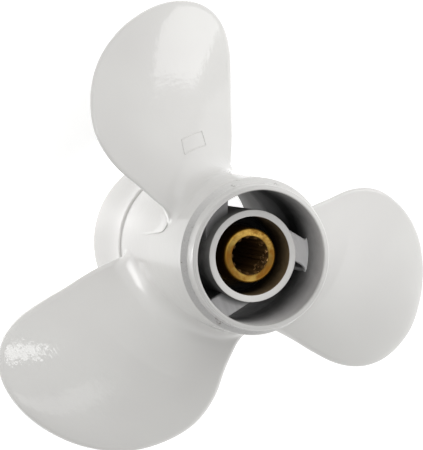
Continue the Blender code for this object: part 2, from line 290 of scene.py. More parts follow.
def ring_skin(paint, passage):
    """The diffuser ring: a rounded bead under the groove, then a bell-shaped flare."""
    top = JOINT
    edge = 0.9 * MM
    lip = HUB_REAR_RADIUS + 0.4 * MM
    soft = 2.0 * MM
    bead = [(lip - soft * (1 - math.sin(a)), top - soft * (1 - math.cos(a)), 0)
            for a in np.linspace(0, math.pi / 2, 9)]
    outer = [(r, z, 0) for r, z in flare((lip, top - soft), (RING_RADIUS, REAR + edge), 30)[1:]]
    rear = [
        (RING_RADIUS - 0.25 * edge, REAR + 0.3 * edge, 0),
        (RING_RADIUS - edge, REAR, 0),
        (RING_RADIUS - RING_WALL + edge, REAR, 0),
        (RING_RADIUS - RING_WALL + 0.25 * edge, REAR + 0.3 * edge, 1),
    ]
    inner = [(r, z, 1) for r, z in flare((JOINT_BORE_RADIUS, top),
                                         (RING_RADIUS - RING_WALL, REAR + edge), 30)]
    groove = [(HUB_REAR_RADIUS - GROOVE_DEPTH, top, 0)]
    piece = lathe_piece("ring_skin", groove + bead + outer + rear + inner[::-1], ROUND_STEPS,
                        (paint, passage))
    return settle(piece, "cast_paint", "diffuser_ring")


def tube_skin(paint, passage, bore_stain):
    """The tube inside the barrel, painted round its front edge."""
    edge = 0.5 * MM
    corners = [
        (TUBE_BORE_RADIUS, TUBE_FRONT, edge, 0),
        (TUBE_RADIUS, TUBE_FRONT, edge, 0),
        (TUBE_RADIUS, TUBE_FRONT - 0.6 * MM, 0, 1),
        (TUBE_RADIUS, TUBE_REAR, edge, 1),
        (TUBE_BORE_RADIUS, TUBE_REAR, edge, 2),
    ]
    piece = lathe_piece("tube_skin", rounded(corners, 3.0 * MM), ROUND_STEPS,
                        (paint, passage, bore_stain))
    return settle(piece, "cast_paint", "inner_tube")


def polar(radius, angle):
    return np.array((radius * math.cos(angle), radius * math.sin(angle)))


def arc_points(centre, radius, start, end, count):
    return [centre + polar(radius, angle) for angle in np.linspace(start, end, count)]


def rib_side(side, inner_radius, outer_radius, inset):
    """One side of a rib laid out along +X, from the tube to a fillet on the barrel wall.

    An inset side lies nearer the rib's middle, and its fillet grows by as much.
    """
    middle = polar((inner_radius + outer_radius) / 2, 0)
    along = polar(1.0, -RIB_CANT)
    normal = np.array((-along[1], along[0])) * side
    origin = middle + normal * (RIB_THICKNESS / 2 - inset)

    def reach(radius, point):
        half = point @ along
        inside = half * half - point @ point + radius * radius
        return point + along * (-half + math.sqrt(max(0.0, inside)))

    fillet = RIB_FILLETS[side] + inset
    start = reach(inner_radius, origin)
    centre = reach(outer_radius - fillet, origin + normal * fillet)
    touch_line = -normal * fillet
    touch_wall = centre / np.linalg.norm(centre) * outer_radius - centre
    first = math.atan2(touch_line[1], touch_line[0])
    turn = (math.atan2(touch_wall[1], touch_wall[0]) - first + math.pi) % (2 * math.pi) - math.pi
    run = [start + (centre - normal * fillet - start) * t for t in np.linspace(0, 1, 8)[:-1]]
    return run + arc_points(centre, fillet, first, first + turn, 14)


def rib_outline(inner_radius, outer_radius, inset=0.0):
    near = rib_side(-1, inner_radius, outer_radius, inset)
    far = rib_side(1, inner_radius, outer_radius, inset)
    zero = np.zeros(2)

    def bearing(point):
        return math.atan2(point[1], point[0])

    wall = arc_points(zero, outer_radius, bearing(near[-1]), bearing(far[-1]), 22)[1:-1]
    tube = arc_points(zero, inner_radius, bearing(far[0]), bearing(near[0]), 16)[1:-1]
    return np.array(near + wall + far[::-1] + tube)


def rib_skin(index, material):
    """A rib as a stack of outlines with rounded top edges, lapped a little into its neighbours."""
    lap = 0.3 * MM
    inner = TUBE_RADIUS - lap
    edge = 0.8 * MM
    arc = np.linspace(0, math.pi / 2, 7)
    levels = [(RIB_REAR, 0.0)]
    levels += [(height, 0.0) for height in np.linspace(RIB_REAR + 4 * MM, RIB_FRONT - 3 * MM, 12)]
    levels += [(RIB_FRONT - edge * (1 - math.sin(a)), edge * (1 - math.cos(a))) for a in arc]
    levels += [(RIB_FRONT, 1.6 * edge)]
    points, faces = [], []
    for height, inset in levels:
        loop = rib_outline(inner, bore_radius(height) + lap, inset)
        points += [(x, y, height) for x, y in loop]
    count = len(points) // len(levels)
    for i in range(len(levels) - 1):
        for j in range(count):
            k = (j + 1) % count
            low, high = i * count, (i + 1) * count
            faces.append((low + j, low + k, high + k, high + j))
    faces.append(tuple(range(count))[::-1])
    faces.append(tuple(range(len(points) - count, len(points))))
    turn = RIB_AZIMUTH + index * 2 * math.pi / BLADE_COUNT
    matrix = np.array(Matrix.Rotation(turn, 3, "Z"))
    points = np.array(points) @ matrix.T
    name = "rib_skin_%d" % (index + 1)
    piece = mesh_piece(name, points, faces, (material,), sharp=40)
    return settle(piece, "rib_paint", "rib_%d" % (index + 1))


def blade_height(radius, angle):
    """Height of the blade's mean surface: a helix whose pitch eases to the tip, raked aft."""
    share = (radius - HUB_RADIUS) / (TIP_RADIUS - HUB_RADIUS)
    pitch = PITCH + PITCH_DROP_TO_TIP * (0.6 - share)
    rake_share = (RAKE_LEVEL_RADIUS - radius) / (RAKE_LEVEL_RADIUS - HUB_RADIUS)
    rake = RAKE_DEPTH * (rake_share * rake_share - 1)
    return BLADE_PLANE + pitch * angle / (2 * math.pi) + rake


def fillet_flare(rise, chord):
    """How far the quarter-round root fillet stands out at a given rise above the hub."""
    nose = np.clip(1 - chord / (1 - TRAILING_TURN_SHARE), 0, 1)
    fillet = along_steps(ROOT_FILLETS, chord) * (1 - TRAILING_NOSE_LOSS * nose * nose)
    left = np.clip(fillet - rise, 0, fillet)
    return fillet - np.sqrt(np.maximum(0, fillet ** 2 - left ** 2))


def mean_surface(step, chord):
    """Radius, angle and chord width of the blade's mean surface; the root stands on the hub."""
    share = np.sin(step * math.pi / 2)
    trailing = np.radians(along_steps(TRAILING_ANGLES, step))
    leading = np.radians(along_steps(LEADING_ANGLES, step))
    angle = trailing + (leading - trailing) * chord
    return share, angle, leading - trailing


def blade_points(step, chord, layer, nose):
    """Points of one side of the blade, for arrays of step and chord; layer is +1 or -1."""
    root = np.full(step.shape, HUB_RADIUS)
    points = None
    for _ in range(5):
        points = points_above(root, step, chord, layer, nose)
        root = hub_radius(points[..., 2]) - SKIN_LAP
    return points


def points_above(root, step, chord, layer, nose):
    share, angle, spread = mean_surface(step, chord)
    radius = root + (TIP_RADIUS - root) * share
    width = spread * radius
    helix = np.arctan2(PITCH, 2 * math.pi * radius)
    flared = fillet_flare(radius - root, chord)
    centred = np.abs(2 * chord - 1)
    lean = np.where(chord > 0.5, LEADING_LEAN, 0.0)
    start = np.where(chord > 0.5, LEADING_TURN_SHARE, TRAILING_TURN_SHARE)
    turn = np.clip((centred - start) / (1 - start), 0, 1)
    turn = turn * (math.pi / 2 + layer * lean)
    fullest = ROOT_THICKNESS + (TIP_THICKNESS - ROOT_THICKNESS) * share ** THICKNESS_FALL
    half = 0.5 * nose * (EDGE_THICKNESS + (fullest - EDGE_THICKNESS) * np.sin(math.pi * chord))
    half = half + flared * np.cos(turn)
    camber = CAMBER_RATIO * width * 4 * chord * (1 - chord) * np.minimum(1, 3 * share)
    offset = camber + layer * half
    along = np.copysign(flared * np.sin(turn), 2 * chord - 1)
    arc = radius * angle - offset * np.sin(helix) + along * np.cos(helix)
    height = blade_height(radius, angle) + offset * np.cos(helix) + along * np.sin(helix)
    azimuth = BLADE_AZIMUTH + arc / radius
    return np.stack((radius * np.cos(azimuth), radius * np.sin(azimuth), height), -1)


def edge_distance(step, chord):
    """Distance of each point of the mean surface from the blade's edge."""
    count = EDGE_POINTS
    flat = points_above(HUB_RADIUS, step, chord, 0, np.zeros(step.shape))
    rim_steps = np.linspace(0, 1, count)
    rims = [points_above(HUB_RADIUS, rim_steps, np.full(count, edge), 0, np.zeros(count))
            for edge in (0.0, 1.0)]
    tree = kdtree.KDTree(2 * count)
    for i, point in enumerate(np.concatenate(rims)):
        tree.insert(point, i)
    tree.balance()
    distance = np.array([tree.find(point)[2] for point in flat.reshape(-1, 3)])
    distance = distance.reshape(step.shape)
    distance[:, (0, -1)] = 0
    distance[-1] = 0
    return distance


def edge_nose(distance):
    """Share of the thickness at each distance from the edge: a half round."""
    depth = np.clip(distance / EDGE_ROUNDING, 0, 1)
    return np.sqrt(1 - (1 - depth) ** 2)


def edge_bevel(distance, step, chord):
    """Share of the front side's thickness that the ground bevels along the edges leave."""
    width, loss = np.where(chord[..., None] < 0.5, TRAILING_BEVEL, LEADING_BEVEL).transpose(2, 0, 1)
    run = np.clip(step / 0.08, 0, 1) * np.clip((0.9 - step) / 0.3, 0, 1)
    return 1 - loss * run * np.clip(1 - distance / width, 0, 1)


def blade_skin(index, paint, shape):
    points, faces, normals = shape
    turn = np.array(Matrix.Rotation(index * 2 * math.pi / BLADE_COUNT, 3, "Z"))
    name = "blade_skin_%d" % (index + 1)
    piece = mesh_piece(name, points @ turn.T, faces, (paint,), sharp=50, normals=normals @ turn.T)
    return settle(piece, "cast_paint", "blade_%d" % (index + 1))


def blade_shape():
    """One blade as a closed skin whose sides meet along the edges: points, faces, root normals."""
    steps = np.linspace(0, 1, BLADE_STEPS + 1) ** STEP_CROWDING
    chords = 0.5 - 0.5 * np.cos(np.linspace(0, math.pi, BLADE_COLUMNS + 1))
    step, chord = np.meshgrid(steps, chords, indexing="ij")
    distance = edge_distance(step, chord)
    nose = edge_nose(distance)
    front = blade_points(step, chord, 1, nose * edge_bevel(distance, step, chord))
    back = blade_points(step, chord, -1, nose)
    columns = BLADE_COLUMNS + 1
    rows = BLADE_STEPS + 1
    points = np.concatenate((front.reshape(-1, 3), back.reshape(-1, 3)))
    half = rows * columns
    tip = (rows - 1) * columns + columns // 2

    def front_id(i, j):
        return tip if i == rows - 1 else i * columns + j

    def back_id(i, j):
        if i == rows - 1 or j in (0, columns - 1):
            return front_id(i, j)
        return half + i * columns + j

    faces = []
    for i in range(rows - 1):
        for j in range(columns - 1):
            square = (front_id(i, j), front_id(i + 1, j), front_id(i + 1, j + 1),
                      front_id(i, j + 1))
            faces.append(unrepeated(square))
            square = (back_id(i, j), back_id(i, j + 1), back_id(i + 1, j + 1),
                      back_id(i + 1, j))
            faces.append(unrepeated(square))
    for j in range(columns - 1):
        square = (front_id(0, j + 1), back_id(0, j + 1), back_id(0, j), front_id(0, j))
        faces.append(unrepeated(square))
    normals = np.zeros(points.shape)
    for root in (slice(0, columns), slice(half, half + columns)):
        normals[root] = hub_normals(points[root])
    used = sorted({corner for face in faces for corner in face})
    place = {old: new for new, old in enumerate(used)}
    faces = [tuple(place[corner] for corner in face) for face in faces]
    return points[used], faces, normals[used]


def bead_skin(paint):
    """The frame as a closed half-round bead, sunk a little into the blade's front side."""
    side = np.linspace(0, 1, 24, endpoint=False)
    corners = np.array(FRAME_CORNERS)
    runs = [a + (b - a) * side[:, None] for a, b in zip(corners, np.roll(corners, -1, axis=0))]
    step, chord = np.concatenate(runs).T
    nudge = 0.002
    full = np.ones(step.shape)
    spine = blade_points(step, chord, 1, full)
    along_chord = blade_points(step, chord + nudge, 1, full) - spine
    along_step = blade_points(step + nudge, chord, 1, full) - spine
    outward = np.cross(along_step, along_chord)
    outward /= np.linalg.norm(outward, axis=1)[:, None]
    outward *= np.sign(outward[:, 2:])
    forward = np.roll(spine, -1, axis=0) - np.roll(spine, 1, axis=0)
    across = np.cross(forward, outward)
    across /= np.linalg.norm(across, axis=1)[:, None]
    section = [(math.cos(a), math.sin(a)) for a in np.linspace(-0.4, math.pi + 0.4, 11)]
    rings = [spine + across * (x * FRAME_WIDTH / 2) + outward * (y * FRAME_HEIGHT)
             for x, y in section]
    count = len(spine)
    faces = []
    for i in range(len(section)):
        k = (i + 1) % len(section)
        for j in range(count):
            m = (j + 1) % count
            faces.append((i * count + j, i * count + m, k * count + m, k * count + j))
    piece = mesh_piece("frame_bead", np.concatenate(rings), faces, (paint,), sharp=60)
    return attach(piece, "root")


def root_step_skin(index, paint):
    """A low cast step on the hub: a wall along its curve, then a slope back into the barrel."""
    t = np.linspace(0, 1, 90)
    height = along_steps(STEP_HEIGHTS, t)
    azimuth = np.radians(along_steps(STEP_ANGLES, t))
    rise = STEP_RISE * np.clip(along_steps(STEP_SHARES, t), 0, 1)
    slope = np.linspace(0, 1, 14)
    rows = [(0.0, 0.0), (0.04 * MM, 0.45), (0.14 * MM, 0.8), (0.35 * MM, 0.97)]
    rows += [(0.6 * MM + (STEP_RUN - 0.6 * MM) * x, 1 - x * x * (3 - 2 * x)) for x in slope]
    points = []
    for back, share in rows:
        place = height - back
        sink = 0.08 * MM if share in (0.0, rows[-1][1]) else 0.0
        radius = hub_radius(place) + rise * share - sink
        points.append(np.stack((radius * np.cos(azimuth), radius * np.sin(azimuth), place), -1))
    count = len(t)
    faces = []
    for i in range(len(rows)):
        k = (i + 1) % len(rows)
        for j in range(count - 1):
            faces.append((i * count + j, k * count + j, k * count + j + 1, i * count + j + 1))
    faces.append(tuple(i * count for i in range(len(rows)))[::-1])
    faces.append(tuple(i * count + count - 1 for i in range(len(rows))))
    turn = np.array(Matrix.Rotation(index * 2 * math.pi / BLADE_COUNT, 3, "Z"))
    name = "root_step_%d" % (index + 1)
    piece = mesh_piece(name, np.concatenate(points) @ turn.T, faces, (paint,), sharp=60)
    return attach(piece, "root")


def hub_normals(points):
    """The barrel's outward normals, for the row where a skin runs into it."""
    slope = (HUB_REAR_RADIUS - HUB_RADIUS) / (TAPER_TOP - JOINT)
    outward = points.copy()
    outward[:, 2] = slope * np.linalg.norm(points[:, :2], axis=1)
    return outward / np.linalg.norm(outward, axis=1)[:, None]


def unrepeated(corners):
    """A face's corners without those that fell together."""
    return tuple(dict.fromkeys(corners))


# Bush and sleeve

def bush_skin(rubber):
    """The bush, whose ends have a rim at the sleeve and one at the tube."""
    end = [  # radius, depth from the end, rounding
        (SLEEVE_RADIUS + 0.1 * MM, 0.6 * MM, 0.5 * MM),
        (SLEEVE_RADIUS + 1.2 * MM, 0.0, 0.5 * MM),
        (SLEEVE_RADIUS + 2.2 * MM, 1.2 * MM, 0.6 * MM),
        (TUBE_BORE_RADIUS - 2.0 * MM, 1.2 * MM, 0.8 * MM),
        (TUBE_BORE_RADIUS - 0.9 * MM, 0.1 * MM, 0.4 * MM),
        (TUBE_BORE_RADIUS - 0.1 * MM, 1.0 * MM, 0.3 * MM),
    ]
    corners = [(radius, BUSH_FRONT - depth, rounding, 0) for radius, depth, rounding in end]
    corners += [(radius, BUSH_REAR + depth, rounding, 0) for radius, depth, rounding in end[::-1]]
    piece = lathe_piece("bush_skin", rounded(corners, 3.0 * MM), ROUND_STEPS, (rubber,))
    return settle(piece, "bush_rubber", "rubber_bush")


def spline_radius(angle):
    """Radius of the toothed bore: teeth with flat tips, short flanks and rounded corners."""
    share = (angle * SPLINE_COUNT / (2 * math.pi)) % 1.0
    rise = np.clip((share - 0.42) / 0.16, 0, 1) - np.clip((share - 0.86) / 0.14, 0, 1)
    rise = rise * rise * (3 - 2 * rise)
    return SPLINE_ROOT_RADIUS + (SPLINE_TIP_RADIUS - SPLINE_ROOT_RADIUS) * rise


def sleeve_skin(brass, bore):
    """The sleeve as rows of (radius, height, zone) all round, from the front edge to the mouth."""
    steps = SPLINE_COUNT * 24
    angles = np.arange(steps) * 2 * math.pi / steps
    teeth = spline_radius(angles)
    front, rear = SLEEVE_FRONT, SLEEVE_REAR
    edge = 1.7 * MM
    chamfer = 0.35 * MM
    lead_in = 1.8 * MM
    mouth = SLEEVE_MOUTH_RADIUS
    arc = np.linspace(0, math.pi / 2, 8)
    rows = [(SLEEVE_RADIUS - edge * (1 - math.sin(a)), front - edge * (1 - math.cos(a)), 0)
            for a in arc]
    rows += [(SLEEVE_RADIUS - edge * (1 - math.cos(a)), rear + edge * (1 - math.sin(a)), 0)
             for a in arc]
    rows += [(mouth + chamfer, rear, 0), (mouth, rear + chamfer, 1), (teeth, rear + lead_in, 1)]
    rows += [(teeth, rear + (front - rear) * t, 1) for t in np.linspace(0.05, 0.95, 10)]
    rows += [(teeth, front - lead_in, 1), (mouth, front - chamfer, 0), (mouth + chamfer, front, 0)]
    points, faces, zones = [], [], []
    for radius, height, _ in rows:
        points += [(r * math.cos(a), r * math.sin(a), height)
                   for r, a in zip(np.broadcast_to(radius, angles.shape), angles)]
    for i, (_, _, zone) in enumerate(rows):
        k = (i + 1) % len(rows)
        for j in range(steps):
            m = (j + 1) % steps
            faces.append((i * steps + m, i * steps + j, k * steps + j, k * steps + m))
            zones.append(zone)
    piece = mesh_piece("sleeve_skin", points, faces, (brass, bore), zones, sharp=28)
    return settle(piece, "sleeve_brass", "brass_sleeve")


# Materials

class Shader:
    """One node material, built node by node. Textures read object coordinates, in metres."""

    def __init__(self, name):
        self.material = bpy.data.materials.new(name)
        self.material.use_nodes = True
        self.tree = self.material.node_tree
        self.surface = self.tree.nodes["Principled BSDF"]
        self.place = self.node("ShaderNodeTexCoord").outputs["Object"]

    def node(self, kind, inputs=None, **settings):
        made = self.tree.nodes.new(kind)
        for name, value in settings.items():
            setattr(made, name, value)
        for name, value in (inputs or {}).items():
            self.put(made.inputs[name], value)
        return made

    def put(self, socket, value):
        if isinstance(value, bpy.types.NodeSocket):
            self.tree.links.new(value, socket)
        else:
            socket.default_value = value

    def set(self, name, value):
        self.put(self.surface.inputs[name], value)

    def noise(self, scale, detail=3.0, roughness=0.55, place=None):
        made = self.node("ShaderNodeTexNoise", {"Vector": place or self.place, "Scale": scale,
                                                "Detail": detail, "Roughness": roughness})
        return made.outputs["Fac"]

    def spread(self, socket, low, high, to_low=0.0, to_high=1.0):
        made = self.node("ShaderNodeMapRange", {"Value": socket, "From Min": low,
                                                "From Max": high, "To Min": to_low,
                                                "To Max": to_high})
        return made.outputs["Result"]

    def mix(self, factor, a, b):
        # The node's kinds share the names of their sockets, so these go by number.
        made = self.node("ShaderNodeMix", data_type="RGBA")
        self.put(made.inputs[0], factor)
        self.put(made.inputs[6], colour(a))
        self.put(made.inputs[7], colour(b))
        return made.outputs[2]

    def maths(self, operation, a, b=0.0):
        return self.node("ShaderNodeMath", {0: a, 1: b}, operation=operation).outputs[0]

    def stretched(self, x, y, z):
        made = self.node("ShaderNodeMapping", {"Vector": self.place, "Scale": (x, y, z)})
        return made.outputs["Vector"]

    def height(self):
        return self.node("ShaderNodeSeparateXYZ", {0: self.place}).outputs["Z"]

    def facing(self, azimuth):
        """From -1 to 1: how far a place about the shaft axis lies toward an azimuth."""
        flat = self.node("ShaderNodeVectorMath", {0: self.place, 1: (1, 1, 0)},
                         operation="MULTIPLY").outputs[0]
        unit = self.node("ShaderNodeVectorMath", {0: flat}, operation="NORMALIZE").outputs[0]
        side = (math.cos(azimuth), math.sin(azimuth), 0.0)
        return self.node("ShaderNodeVectorMath", {0: unit, 1: side},
                         operation="DOT_PRODUCT").outputs["Value"]

    def from_axis(self):
        flat = self.node("ShaderNodeVectorMath", {0: self.place, 1: (1, 1, 0)},
                         operation="MULTIPLY").outputs[0]
        return self.node("ShaderNodeVectorMath", {0: flat}, operation="LENGTH").outputs["Value"]

    def rings(self, across, along):
        """Coordinates that run fast with the radius and slowly round the axis."""
        parts = self.node("ShaderNodeSeparateXYZ", {0: self.place}).outputs
        turn = self.maths("ARCTAN2", parts["Y"], parts["X"])
        return self.node("ShaderNodeCombineXYZ", {
            "X": self.maths("MULTIPLY", self.from_axis(), across),
            "Y": self.maths("MULTIPLY", turn, along / 20),
            "Z": self.maths("MULTIPLY", parts["Z"], along)}).outputs[0]

    def bump(self, height, strength, distance, normal=None):
        inputs = {"Height": height, "Strength": strength, "Distance": distance}
        if normal is not None:
            inputs["Normal"] = normal
        return self.node("ShaderNodeBump", inputs).outputs["Normal"]


def colour(value):
    """Add alpha to a colour of three parts; a socket stays as it is."""
    if isinstance(value, (tuple, list)) and len(value) == 3:
        return (*value, 1.0)
    return value


# Painted shade: the machined land darkens toward this side.
LAND_SHADE_SIDE = math.radians(188)
# Painted shade: the rim darkens toward this side.
RIM_SHADE_SIDE = math.radians(200)
# Painted shade: the tube's front face darkens toward this side.
TUBE_SHADE_SIDE = math.radians(100)
# Painted shade: a dark lobe in the passages' mouth, toward this side.
PASSAGE_SHADE_SIDE = math.radians(-60)
# Inside the passages: the depth that the spray paint reaches, the azimuth of painted shadow
# that cuts that reach and by how much, the azimuth of painted shade that darkens even the
# mouth, and the mouth's tone elsewhere.
BARREL_INSIDE = (39 * MM, 70, 0.20, 100, (0.60, 0.59, 0.58))
TUBE_OUTSIDE = (90 * MM, 210, 0.70, 60, (0.70, 0.69, 0.68))
# Painted highlight: the brass lightens toward this side, and less toward the opposite one.
BRASS_HIGHLIGHT_SIDE = math.radians(58)
BORE_GLINT_SIDE = math.radians(-45)
RUST_SIDE = math.radians(165)
# Painted shade: the ribs' ends darken toward this side.
RIB_SHADE_SIDE = math.radians(150)
PAINT_COLOUR = (0.60, 0.595, 0.575)
PAINT_SHADE = (0.565, 0.555, 0.54)


def paint_material(name="gloss_paint", cover=1.0, shade_side=None, fade=(-0.8, 0.8), darkest=0.9):
    """Sprayed gloss paint. Cover under one is thinner paint, over the metal's grey.

    With a shade side, an azimuth, the tone falls off toward it to the darkest share, from one
    value of facing it to the other in fade: painted shade on that side. Without, it falls off a
    little toward the front end, which is painted shade too.
    """
    s = Shader(name)
    clouds = s.spread(s.noise(14, 2), 0.35, 0.65)

    def tones(share):
        full = tuple(cover * share * channel for channel in PAINT_COLOUR)
        shade = tuple(cover * share * channel for channel in PAINT_SHADE)
        return s.mix(clouds, full, shade)

    if shade_side is None:
        # Painted shade: the paint darkens a little toward the front end.
        front_shade = s.spread(s.height(), FRONT - 60 * MM, FRONT - 14 * MM)
        s.set("Base Color", s.mix(front_shade, tones(1.0), tones(0.845)))
    else:
        # Painted shade: the paint darkens toward the shade side.
        side_shade = s.spread(s.facing(shade_side), *fade)
        s.set("Base Color", s.mix(side_shade, tones(1.1), tones(darkest)))
    s.set("Roughness", 0.45)
    s.set("Coat Weight", 1.0)
    s.set("Coat Roughness", 0.05)
    peel = s.noise(330, 2, 0.5)
    waves = s.noise(90, 1, 0.4)
    arcs = s.noise(1.0, 2, 0.6, s.rings(380.0, 90.0))
    s.set("Normal", s.bump(peel, 0.08, 0.0003))
    first = s.bump(peel, 0.25, 0.0003)
    second = s.bump(arcs, 0.20, 0.0006, first)
    s.set("Coat Normal", s.bump(waves, 0.08, 0.001, second))
    return s.material


def land_material():
    """The machined land behind the lip, thinly painted, with scuffs and chips down to metal."""
    s = Shader("worn_and_shaded_land")
    grain = s.noise(900, 4, 0.7)
    patches = s.noise(140, 3, 0.6)
    # Painted shade: the land darkens toward one side; the chips below are real wear.
    land_shade = s.spread(s.facing(LAND_SHADE_SIDE), -0.35, 0.65)
    high = s.mix(land_shade, (0.62, 0.615, 0.60), (0.43, 0.425, 0.415))
    low = s.mix(land_shade, (0.57, 0.565, 0.55), (0.35, 0.345, 0.34))
    base = s.mix(s.spread(grain, 0.3, 0.7), high, low)
    chips = s.maths("MULTIPLY", s.spread(patches, 0.60, 0.68), s.spread(grain, 0.45, 0.6))
    s.set("Base Color", s.mix(chips, base, (0.14, 0.12, 0.11)))
    s.set("Roughness", 0.5)
    s.set("Normal", s.bump(grain, 0.25, 0.0003))
    return s.material


def passage_material(name, paint_depth, shadow_side, shadow, dark_side, tone):
    """The passages' cast: paint reaching less with depth, and painted shade and light."""
    s = Shader(name)
    # Partly the paint's sparser reach, partly painted shade: darker with depth and toward the
    # shadow side.
    depth = s.spread(s.height(), FRONT - 2 * MM, FRONT - paint_depth)
    side = s.spread(s.facing(math.radians(shadow_side)), -1.0, 1.0, -shadow, shadow)
    clouds = s.spread(s.noise(90, 3, 0.6), 0.3, 0.7, -0.08, 0.08)
    reach = s.maths("ADD", s.maths("ADD", depth, side), clouds)
    # Painted shade: the mouth darkens toward the dark side and in a lobe on the low side.
    dark = s.spread(s.facing(math.radians(dark_side)), 0.1, 0.8)
    low = s.spread(s.facing(PASSAGE_SHADE_SIDE), 0.72, 1.0)
    bright = s.mix(low, tone, (0.42, 0.41, 0.405))
    mouth = s.mix(dark, bright, (0.27, 0.265, 0.26))
    # Painted shade on the deep walls, near black, then painted light where they lighten near the
    # rear step.
    shade = s.mix(s.spread(s.height(), FRONT - 36 * MM, FRONT - 58 * MM),
                  (0.036, 0.036, 0.036), (0.014, 0.014, 0.014))
    deep = s.mix(s.spread(s.height(), BORE_STEP_Z + 12 * MM, BORE_STEP_Z - 1 * MM),
                 shade, (0.22, 0.218, 0.215))
    s.set("Base Color", s.mix(s.spread(reach, 0.0, 1.0), mouth, deep))
    s.set("Roughness", 0.65)
    s.set("Specular IOR Level", 0.15)
    grain = s.noise(600, 3, 0.6)
    s.set("Normal", s.bump(grain, 0.2, 0.0003))
    return s.material


def bore_stain_material():
    """The tube's bore: stained paint, thinly laid near the mouth, darker brown with depth."""
    s = Shader("tube_bore_stained")
    # Darker with depth, under stains.
    depth = s.spread(s.height(), TUBE_FRONT - 1 * MM, TUBE_FRONT - 20 * MM)
    stains = s.noise(120, 4, 0.65)
    reach = s.maths("ADD", depth, s.spread(stains, 0.35, 0.7, -0.15, 0.35))
    s.set("Base Color", s.mix(reach, (0.19, 0.135, 0.072), (0.028, 0.018, 0.011)))
    s.set("Roughness", 0.45)
    return s.material


def rib_material():
    """The ribs' ends with painted shade: darker to one side and by the tube, near black below."""
    s = Shader("rib_cast")
    streaks = s.noise(420, 2, 0.5, s.stretched(1.0, 0.08, 0.3))
    # Painted shade: the ribs' ends darken toward one side.
    bare = s.spread(s.facing(RIB_SHADE_SIDE), -0.9, 0.7)
    high = s.mix(bare, (0.96, 0.95, 0.95), (0.46, 0.455, 0.46))
    low = s.mix(bare, (0.86, 0.85, 0.85), (0.37, 0.365, 0.37))
    top = s.mix(s.spread(streaks, 0.3, 0.7), high, low)
    # Painted shade in the corner by the tube.
    corner = s.spread(s.from_axis(), TUBE_RADIUS + 0.8 * MM, TUBE_RADIUS + 3.6 * MM)
    top = s.mix(corner, (0.18, 0.18, 0.18), top)
    # Painted shade: the sides below the top are near black.
    below = s.spread(s.height(), RIB_FRONT - 0.6 * MM, RIB_FRONT - 4 * MM)
    s.set("Base Color", s.mix(below, top, (0.03, 0.03, 0.03)))
    s.set("Roughness", 0.4)
    s.set("Normal", s.bump(streaks, 0.3, 0.0003))
    return s.material


def rubber_material():
    """Dusty black rubber, with rust from the sleeve on one side."""
    s = Shader("bush_rubber_black")
    dust = s.noise(300, 3, 0.6)
    black = s.mix(s.spread(dust, 0.4, 0.8), (0.006, 0.006, 0.006), (0.016, 0.015, 0.014))
    near = s.spread(s.from_axis(), SLEEVE_RADIUS + 4.5 * MM, SLEEVE_RADIUS)
    rusty = s.maths("MULTIPLY", near, s.spread(s.facing(RUST_SIDE), -0.2, 0.7))
    s.set("Base Color", s.mix(rusty, black, (0.080, 0.044, 0.005)))
    s.set("Roughness", 0.75)
    s.set("Specular IOR Level", 0.2)
    s.set("Normal", s.bump(dust, 0.3, 0.0003))
    return s.material


def brass_material():
    """Turned brass in fine rings, painted highlights toward two sides, tarnished in patches."""
    s = Shader("turned_brass")
    radius = s.from_axis()
    wave = s.node("ShaderNodeTexNoise", {"Vector": s.node("ShaderNodeCombineXYZ", {
        "X": s.maths("MULTIPLY", radius, 6000.0), "Y": s.height(), "Z": 0.0}).outputs[0],
        "Scale": 1.0, "Detail": 2.0}).outputs["Fac"]
    tarnish = s.noise(130, 4, 0.6)
    # Painted highlight and shade across the brass face.
    facing = s.facing(BRASS_HIGHLIGHT_SIDE)
    streak = s.maths("MULTIPLY", s.maths("MULTIPLY", facing, facing), 0.5)
    lit = s.maths("ADD", streak, s.spread(facing, -1.0, 1.0, 0.0, 0.43))
    bright = s.mix(lit, (0.06, 0.036, 0.007), (0.92, 0.60, 0.15))
    base = s.mix(s.spread(tarnish, 0.42, 0.62), bright, (0.24, 0.100, 0.014))
    # Painted shade: darker amber on the rounded outer edge.
    rim = s.spread(radius, SLEEVE_RADIUS - 1.8 * MM, SLEEVE_RADIUS - 0.2 * MM)
    base = s.mix(rim, base, (0.34, 0.19, 0.03))
    s.set("Base Color", base)
    s.set("Metallic", 1.0)
    s.set("Roughness", 0.34)
    s.set("Normal", s.bump(wave, 0.15, 0.0002))
    return s.material


def bore_material():
    """The sleeve's toothed bore: brass under dark, dried grease, with bare glints."""
    s = Shader("greased_brass")
    smears = s.noise(280, 3, 0.55)
    near = s.spread(s.height(), SLEEVE_FRONT - 13 * MM, SLEEVE_FRONT - 8 * MM)
    side = s.maths("MULTIPLY", near, s.spread(s.facing(BORE_GLINT_SIDE), 0.35, 0.8))
    bare = s.maths("MULTIPLY", s.spread(smears, 0.57, 0.63), side)
    s.set("Base Color", s.mix(bare, (0.085, 0.045, 0.016), (0.95, 0.58, 0.25)))
    s.set("Metallic", bare)
    s.set("Roughness", 0.5)
    s.set("Specular IOR Level", 0.0)
    s.set("Normal", s.bump(smears, 0.3, 0.0004))
    return s.material


# Studio

CAMERA_PLACE = Vector((-310.4, 209.3, 987.1)) * MM
CAMERA_AIM = Vector((1.0, 15.1, 0.0)) * MM
CAMERA_UP = Vector((0.3874, 0.9200, -0.0588))
IMAGE_HEIGHT = 450
FOCAL_PIXELS = 1773.1
SENSOR = 36.0

toward = (CAMERA_PLACE - CAMERA_AIM).normalized()
right = CAMERA_UP.cross(toward).normalized()
up = toward.cross(right)

